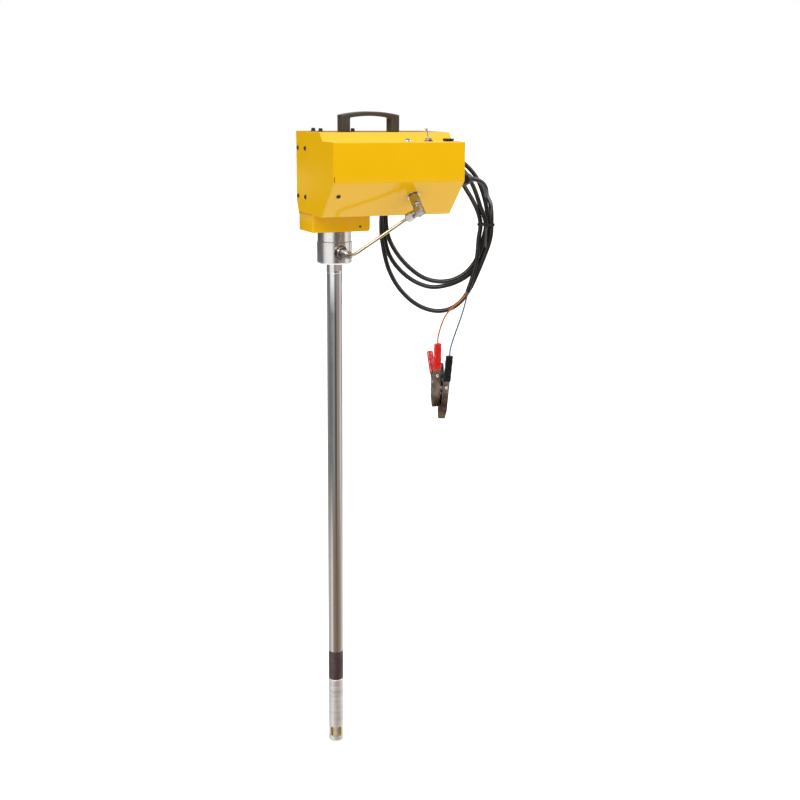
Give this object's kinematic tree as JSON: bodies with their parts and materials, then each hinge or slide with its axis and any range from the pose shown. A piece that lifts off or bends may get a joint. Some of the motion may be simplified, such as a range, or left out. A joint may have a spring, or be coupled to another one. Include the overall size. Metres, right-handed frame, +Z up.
{
  "type": "electric grease pump",
  "caption": "Electric grease drum pump: bent sheet housing with handle, switch and lamp, pump block, long suction tube with slotted foot, and a looped cable ending in battery clamps.",
  "frame": {"origin": "on the suction tube's axis, at the underside of the pump block where it rests on a drum cover", "axes": "+Z up along the suction tube, +X along the housing towards the cable gland, -Y the front with the sloping panel"},
  "size_m": [0.377, 0.2553, 1.1994],
  "materials": {
    "yellow_paint": "gloss",
    "handle_plastic": "matt",
    "black_screw": "satin",
    "chromed": "mirror",
    "plated_steel": "satin",
    "zinc_steel": "satin",
    "dark_steel": "satin",
    "block_steel": "turned",
    "brass": "turned",
    "lamp_green": "gloss",
    "black_plastic": "satin",
    "cable_rubber": "satin",
    "wire_orange": "satin",
    "wire_blue": "satin",
    "vinyl_red": "gloss",
    "vinyl_black": "gloss",
    "seal_rubber": "matt",
    "case_aluminium": "cast",
    "motor_paint": "satin",
    "board": "satin"
  },
  "bodies": {
    "housing": {"front_shell": "yellow_paint", "rear_shell": "yellow_paint", "skirt_bracket": "yellow_paint", "skirt_plug": "black_plastic", "carry_handle": "handle_plastic", "handle_screws": "zinc_steel", "panel_screws": "black_screw", "top_screws": "black_screw", "switch_body": "plated_steel", "switch_nut": "plated_steel", "lamp_body": "plated_steel", "lamp_lens": "lamp_green", "fuse_body": "black_plastic", "gland_body": "black_plastic", "gland_nut": "black_plastic", "power_cable": "cable_rubber", "cable_tie": "black_plastic", "cable_hook": "motor_paint", "orange_wire": "wire_orange", "blue_wire": "wire_blue", "red_jaw": "plated_steel", "red_grip": "vinyl_red", "black_jaw": "plated_steel", "black_grip": "vinyl_black", "jaw_pivots": "plated_steel", "jaw_springs": "dark_steel", "wire_rivets": "zinc_steel", "bulkhead_body": "plated_steel", "pipe_elbow": "plated_steel", "pipe_nuts": "plated_steel", "pressure_pipe": "plated_steel", "port_adapter": "dark_steel", "block_upper": "block_steel", "block_gasket": "brass", "block_lower": "block_steel", "tube_neck": "block_steel", "suction_tube": "chromed", "pump_cylinder": "dark_steel", "foot_tube": "zinc_steel", "valve_seat": "brass", "rod_seal": "seal_rubber", "gear_case": "case_aluminium", "frame_bolts": "black_screw", "gear_motor": "motor_paint", "crank_bearing": "zinc_steel", "pressure_switch": "motor_paint", "relay_board": "board"},
    "lever": {"switch_lever": "chromed"},
    "cap": {"fuse_cap": "black_plastic"},
    "red_arm_body": {"red_arm": "plated_steel", "red_arm_grip": "vinyl_red"},
    "black_arm_body": {"black_arm": "plated_steel", "black_arm_grip": "vinyl_black"},
    "rod": {"rod_yoke": "zinc_steel", "pump_rod": "zinc_steel", "piston": "brass", "shovel_piston": "brass"},
    "foot_valve": {"valve_ring": "dark_steel"},
    "crank": {"crankshaft": "dark_steel"},
    "motor_pinion": {"pinion": "dark_steel"}
  },
  "joints": [
    {"name": "switch_toggle", "type": "hinge", "parent": "housing", "child": "lever", "pos_m": [0.13, -0.109, 0.217], "axis": [0, 1, 0], "range_deg": [0, 28]},
    {"name": "fuse_cap_turn", "type": "hinge", "parent": "housing", "child": "cap", "pos_m": [0.168, -0.109, 0.215], "axis": [0, 0, 1], "range_deg": [0, 90]},
    {"name": "red_clamp_squeeze", "type": "hinge", "parent": "housing", "child": "red_arm_body", "pos_m": [0.226, 0.0445, -0.246], "axis": [1, 0, 0], "range_deg": [0, 20], "stiffness_Nm_per_rad": 2, "springref_deg": -34.38},
    {"name": "black_clamp_squeeze", "type": "hinge", "parent": "housing", "child": "black_arm_body", "pos_m": [0.243, 0.0417, -0.271], "axis": [0.9954, 0, -0.0958], "range_deg": [0, 20], "stiffness_Nm_per_rad": 2, "springref_deg": -34.38},
    {"name": "rod_stroke", "type": "slide", "parent": "housing", "child": "rod", "axis": [0, 0, 1], "range_m": [0, 0.024]},
    {"name": "foot_valve_lift", "type": "slide", "parent": "housing", "child": "foot_valve", "axis": [0, 0, 1], "range_m": [0, 0.003]},
    {"name": "crank_turn", "type": "hinge", "parent": "housing", "child": "crank", "pos_m": [0, 0, 0.15], "axis": [1, 0, 0], "continuous": true},
    {"name": "pinion_turn", "type": "hinge", "parent": "housing", "child": "motor_pinion", "pos_m": [0, 0, 0.1952], "axis": [1, 0, 0], "continuous": true}
  ],
  "couplings": [
    {"joint": "pinion_turn", "follows": "crank_turn", "ratio": -2}
  ]
}
